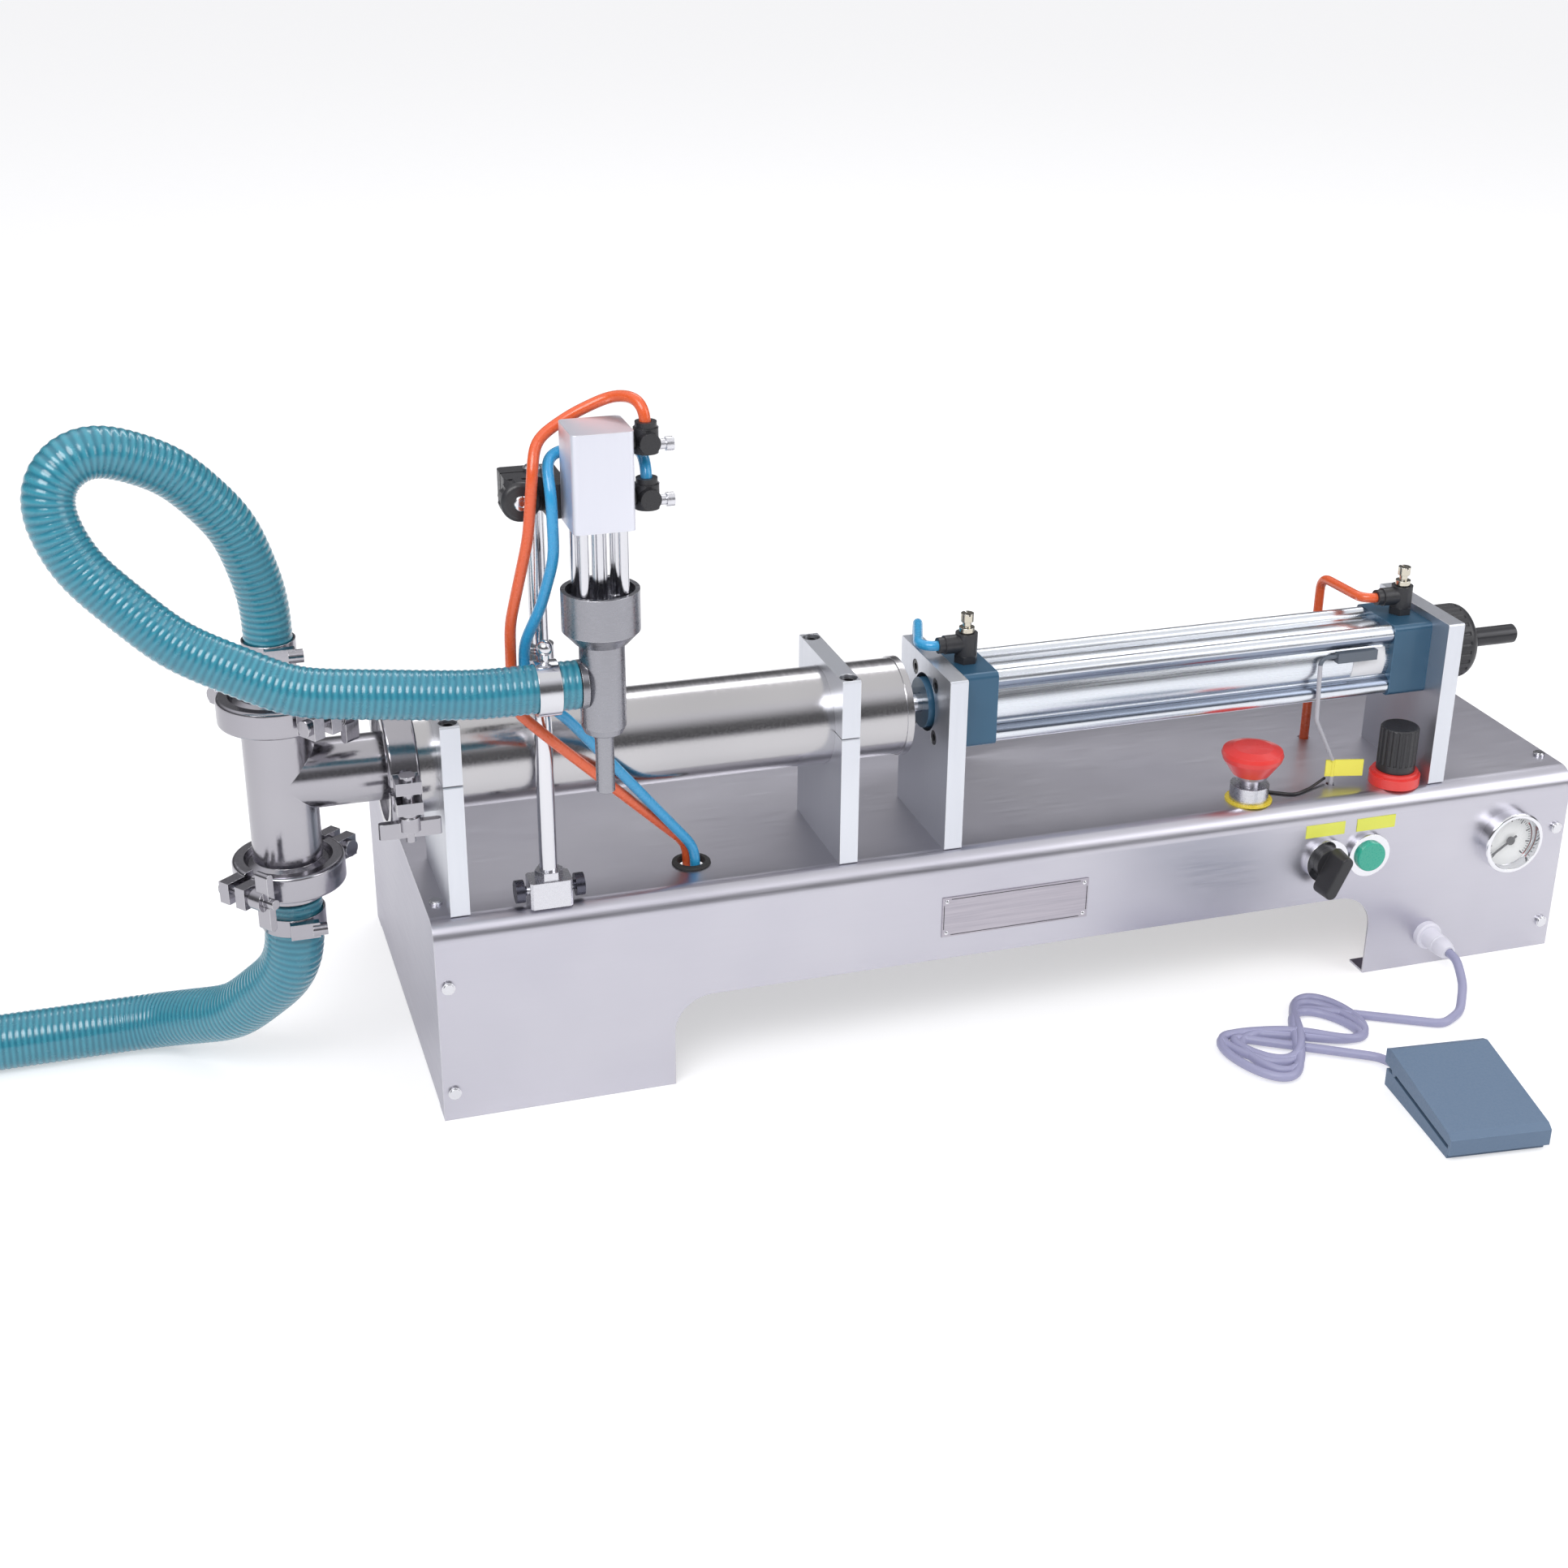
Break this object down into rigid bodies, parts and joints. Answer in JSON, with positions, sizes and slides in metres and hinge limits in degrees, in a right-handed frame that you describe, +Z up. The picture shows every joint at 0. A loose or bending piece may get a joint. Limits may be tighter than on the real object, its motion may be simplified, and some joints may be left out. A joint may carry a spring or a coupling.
{
  "type": "piston liquid filler",
  "caption": "Bench-top pneumatic piston filler: steel case, metering tube and air cylinder in line, tee with ribbed hoses, filling head on a rod, panel controls and foot switch.",
  "frame": {"origin": "on the table, under the middle of the whole outline, hoses and foot switch included; the centre of the steel case is 128.5 mm towards +X and 104.4 mm towards +Y", "axes": "+X along the machine towards the volume wheel, +Y towards the back, +Z up"},
  "size_m": [0.987, 0.4752, 0.4225],
  "materials": {
    "brushed_stainless": "brushed lengthways",
    "polished_stainless": "polished stainless",
    "machined_aluminium": "anodised, satin",
    "nickel_brass": "nickel plated",
    "blue_paint": "satin",
    "black_screws": "black oxide",
    "seal_rubber": "matt",
    "black_plastic": "matt",
    "chrome_bezel": "bright",
    "hose_pvc": "smooth, slightly clear",
    "air_tube": "smooth",
    "red_plastic": "smooth",
    "green_plastic": "smooth",
    "needle_black": "matt",
    "clear_glass": "clear",
    "cable_pvc": "matt",
    "pedal_plastic": "fine grain"
  },
  "bodies": {
    "machine": {"base_cover": "brushed_stainless", "end_plates": "brushed_stainless", "case_screws": "polished_stainless", "socket_screws": "black_screws", "panel_labels": "brushed_stainless", "tube_supports_lower": "machined_aluminium", "tube_supports_upper": "machined_aluminium", "front_cylinder_plate": "machined_aluminium", "rear_cylinder_plate": "machined_aluminium", "metering_tube": "polished_stainless", "cylinder_caps": "blue_paint", "air_barrel": "machined_aluminium", "reed_switch": "black_plastic", "flow_controls": "black_plastic", "cylinder_tubes": "air_tube", "head_air_tubes": "air_tube", "tee_body": "polished_stainless", "clamp_gaskets": "seal_rubber", "clamp_halves": "polished_stainless", "wing_bolts": "polished_stainless", "hose_adaptors": "polished_stainless", "hose_clamps": "polished_stainless", "delivery_hose": "hose_pvc", "suction_hose": "hose_pvc", "stand_rod": "polished_stainless", "rod_foot": "polished_stainless", "estop_body": "black_plastic", "switch_bodies": "chrome_bezel", "gauge_case": "chrome_bezel", "gauge_lens": "clear_glass", "regulator_body": "black_plastic", "pedal_cable": "cable_pvc", "pedal_base": "pedal_plastic", "solenoid_valve": "black_plastic"},
    "piston": {"metering_piston": "polished_stainless", "piston_seals": "seal_rubber", "piston_rod": "polished_stainless", "air_piston": "machined_aluminium"},
    "adjuster_stop": {"adjuster_screw": "black_screws"},
    "adjuster_wheel": {"adjuster_knob": "black_plastic"},
    "front_flow_screw": {"front_needle": "nickel_brass"},
    "rear_flow_screw": {"rear_needle": "nickel_brass"},
    "inlet_valve": {"inlet_poppet": "polished_stainless"},
    "outlet_valve": {"outlet_poppet": "polished_stainless"},
    "head": {"head_bracket": "black_plastic", "hose_clip": "polished_stainless", "head_air_block": "machined_aluminium", "head_posts": "polished_stainless", "valve_cup": "polished_stainless", "valve_body": "polished_stainless", "nozzle_tip": "polished_stainless", "head_flow_controls": "black_plastic"},
    "clamp_knob": {"head_clamp_knob": "black_plastic"},
    "stem": {"valve_stem": "polished_stainless"},
    "emergency_stop": {"estop_button": "red_plastic"},
    "selector": {"selector_knob": "black_plastic"},
    "start_button": {"start_cap": "green_plastic"},
    "pressure_needle": {"gauge_needle": "needle_black"},
    "pressure_knob": {"regulator_knob": "black_plastic"},
    "pedal": {"pedal_plate": "pedal_plastic"}
  },
  "joints": [
    {"name": "filling_stroke", "type": "slide", "parent": "machine", "child": "piston", "axis": [1, 0, 0], "range_m": [0, 0.2]},
    {"name": "volume_wheel", "type": "hinge", "parent": "machine", "child": "adjuster_wheel", "pos_m": [0.4095, 0.0214, 0.204], "axis": [1, 0, 0], "range_deg": [-3600, 0]},
    {"name": "stop_travel", "type": "slide", "parent": "machine", "child": "adjuster_stop", "axis": [1, 0, 0], "range_m": [-0.0301, 0]},
    {"name": "front_flow_turn", "type": "hinge", "parent": "machine", "child": "front_flow_screw", "pos_m": [0.092, 0.0214, 0.227], "axis": [0, 0, 1], "range_deg": [-180, 720]},
    {"name": "rear_flow_turn", "type": "hinge", "parent": "machine", "child": "rear_flow_screw", "pos_m": [0.3825, 0.0214, 0.227], "axis": [0, 0, 1], "range_deg": [-180, 720]},
    {"name": "inlet_valve_lift", "type": "slide", "parent": "machine", "child": "inlet_valve", "axis": [0, 0, 1], "range_m": [0, 0.006]},
    {"name": "outlet_valve_lift", "type": "slide", "parent": "machine", "child": "outlet_valve", "axis": [0, 0, 1], "range_m": [0, 0.006]},
    {"name": "head_height", "type": "slide", "parent": "machine", "child": "head", "axis": [0, 0, 1], "range_m": [-0.06, 0.002], "deforming": ["delivery_hose", "head_air_tubes"]},
    {"name": "head_clamp_turn", "type": "hinge", "parent": "head", "child": "clamp_knob", "pos_m": [-0.1795, -0.0266, 0.366], "axis": [0, -1, 0], "range_deg": [-360, 0]},
    {"name": "nozzle_stem_lift", "type": "slide", "parent": "head", "child": "stem", "axis": [0, 0, 1], "range_m": [0, 0.008]},
    {"name": "emergency_press", "type": "slide", "parent": "machine", "child": "emergency_stop", "axis": [0, 0, -1], "range_m": [0, 0.005], "stiffness_N_per_m": 300},
    {"name": "selector_turn", "type": "hinge", "parent": "machine", "child": "selector", "pos_m": [0.3195, -0.0266, 0.087], "axis": [0, -1, 0], "range_deg": [0, 90]},
    {"name": "start_press", "type": "slide", "parent": "machine", "child": "start_button", "axis": [0, 1, 0], "range_m": [0, 0.003], "stiffness_N_per_m": 200},
    {"name": "gauge_reading", "type": "hinge", "parent": "machine", "child": "pressure_needle", "pos_m": [0.4515, -0.0266, 0.083], "axis": [0, -1, 0], "range_deg": [-190, 80]},
    {"name": "pressure_turn", "type": "hinge", "parent": "machine", "child": "pressure_knob", "pos_m": [0.3745, -0.0076, 0.134], "axis": [0, 0, 1], "range_deg": [-720, 720]},
    {"name": "pedal_press", "type": "hinge", "parent": "machine", "child": "pedal", "pos_m": [0.32784, -0.16078, 0.013], "axis": [0.9945, -0.1045, 0], "range_deg": [0, 2.5]}
  ],
  "couplings": [
    {"joint": "stop_travel", "follows": "volume_wheel", "m_per_rad": 0.00047746}
  ]
}
